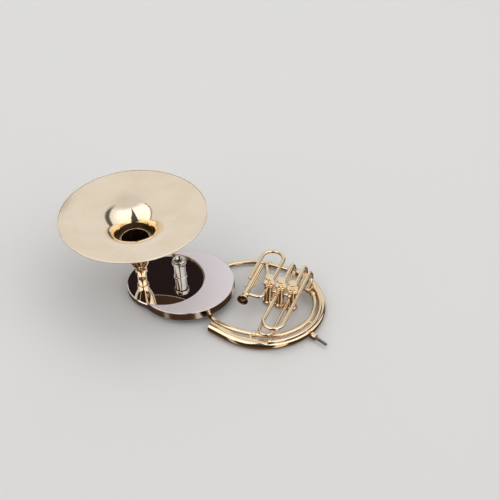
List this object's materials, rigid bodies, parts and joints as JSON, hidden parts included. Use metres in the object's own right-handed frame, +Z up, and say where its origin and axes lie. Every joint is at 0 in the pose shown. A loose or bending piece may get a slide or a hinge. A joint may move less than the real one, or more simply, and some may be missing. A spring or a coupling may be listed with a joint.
{
  "type": "sousaphone",
  "caption": "Miniature sousaphone taken apart for display: flared bell on a round stand with a mirror disc, and the lying coil with piston valves and slides.",
  "frame": {"origin": "centre of the whole layout's outline, at the table it lies on", "axes": "+X along the valve row from the first valve to the third, +Y along the slides towards the coil's back, +Z up from the table"},
  "size_m": [0.1313, 0.0728, 0.0459],
  "materials": {
    "gold_plate": "polished gold plate",
    "satin_gold": "brushed satin gold plate",
    "satin_stand": "satin plate, pale champagne",
    "mirror_plate": "mirror polish",
    "silver_plate": "polished silver plate",
    "steel": "turned steel",
    "spring_steel": "drawn wire",
    "button_cream": "polished gold plate",
    "felt": "thin black felt"
  },
  "bodies": {
    "horn": {"bell_receiver": "gold_plate", "big_branch": "gold_plate", "big_branch_ferrule": "silver_plate", "bottom_valve_caps": "gold_plate", "coil_braces": "gold_plate", "coil_collars": "gold_plate", "first_valve_back_tube": "gold_plate", "first_valve_casing": "gold_plate", "first_valve_front_tube": "gold_plate", "first_valve_spring": "spring_steel", "front_slide_long_tube": "gold_plate", "front_slide_valve_sleeve": "gold_plate", "gooseneck": "gold_plate", "inner_branch": "gold_plate", "inner_branch_elbow": "gold_plate", "leadpipe": "gold_plate", "leadpipe_side_rods": "gold_plate", "lower_loop": "gold_plate", "middle_branch": "gold_plate", "mounting_stud": "steel", "mouthpiece_receiver": "gold_plate", "return_curl": "gold_plate", "second_branch": "gold_plate", "second_slide_sleeves": "gold_plate", "second_valve_casing": "gold_plate", "second_valve_spring": "spring_steel", "stud_boss": "gold_plate", "third_slide_sleeves": "gold_plate", "third_valve_casing": "gold_plate", "third_valve_spring": "spring_steel", "top_branch": "gold_plate", "top_valve_caps": "gold_plate", "tuning_slide_sleeve": "gold_plate", "valve_knuckles": "gold_plate"},
    "stand": {"base_pad": "felt", "crescent_base": "satin_stand", "mirror_disc": "mirror_plate", "stand_post": "silver_plate", "post_cap": "silver_plate", "post_screw": "steel"},
    "bell": {"bell_flare": "satin_gold", "bell_rim_bead": "gold_plate", "bell_throat_ring": "satin_gold", "bell_neck": "gold_plate", "bell_ferrule": "gold_plate", "bell_tenon": "gold_plate"},
    "first_valve": {"first_piston": "steel", "first_valve_button": "button_cream"},
    "second_valve": {"second_piston": "steel", "second_valve_button": "button_cream"},
    "third_valve": {"third_piston": "steel", "third_valve_button": "button_cream"},
    "mouthpiece": {"mouthpiece": "gold_plate"},
    "front_slide": {"front_slide": "gold_plate"},
    "second_slide": {"second_slide": "gold_plate"},
    "third_slide": {"third_slide": "gold_plate"},
    "tuning_slide": {"tuning_slide": "gold_plate"}
  },
  "joints": [
    {"name": "first_valve_press", "type": "slide", "parent": "horn", "child": "first_valve", "axis": [0, 0, -1], "range_m": [0, 0.0016], "stiffness_N_per_m": 120, "springref_m": -0.0008, "deforming": ["first_valve_spring"]},
    {"name": "second_valve_press", "type": "slide", "parent": "horn", "child": "second_valve", "axis": [0, 0, -1], "range_m": [0, 0.0016], "stiffness_N_per_m": 120, "springref_m": -0.0008, "deforming": ["second_valve_spring"]},
    {"name": "third_valve_press", "type": "slide", "parent": "horn", "child": "third_valve", "axis": [0, 0, -1], "range_m": [0, 0.0016], "stiffness_N_per_m": 120, "springref_m": -0.0008, "deforming": ["third_valve_spring"]},
    {"name": "mouthpiece_pull", "type": "slide", "parent": "horn", "child": "mouthpiece", "axis": [0, -1, 0], "range_m": [0, 0.0014]},
    {"name": "front_slide_pull", "type": "slide", "parent": "horn", "child": "front_slide", "axis": [0, -1, 0], "range_m": [0, 0.0055]},
    {"name": "second_slide_pull", "type": "slide", "parent": "horn", "child": "second_slide", "axis": [0, 1, 0], "range_m": [0, 0.0015]},
    {"name": "third_slide_pull", "type": "slide", "parent": "horn", "child": "third_slide", "axis": [0, 1, 0], "range_m": [0, 0.0015]},
    {"name": "tuning_slide_pull", "type": "slide", "parent": "horn", "child": "tuning_slide", "axis": [0, 1, 0], "range_m": [0, 0.0015]},
    {"name": "stand_lift", "type": "slide", "parent": "horn", "child": "stand", "axis": [0, 0, 1], "range_m": [0, 0.02]},
    {"name": "bell_lift", "type": "slide", "parent": "stand", "child": "bell", "axis": [-0.0869, -0.0068, 0.9962], "range_m": [0, 0.02]}
  ]
}
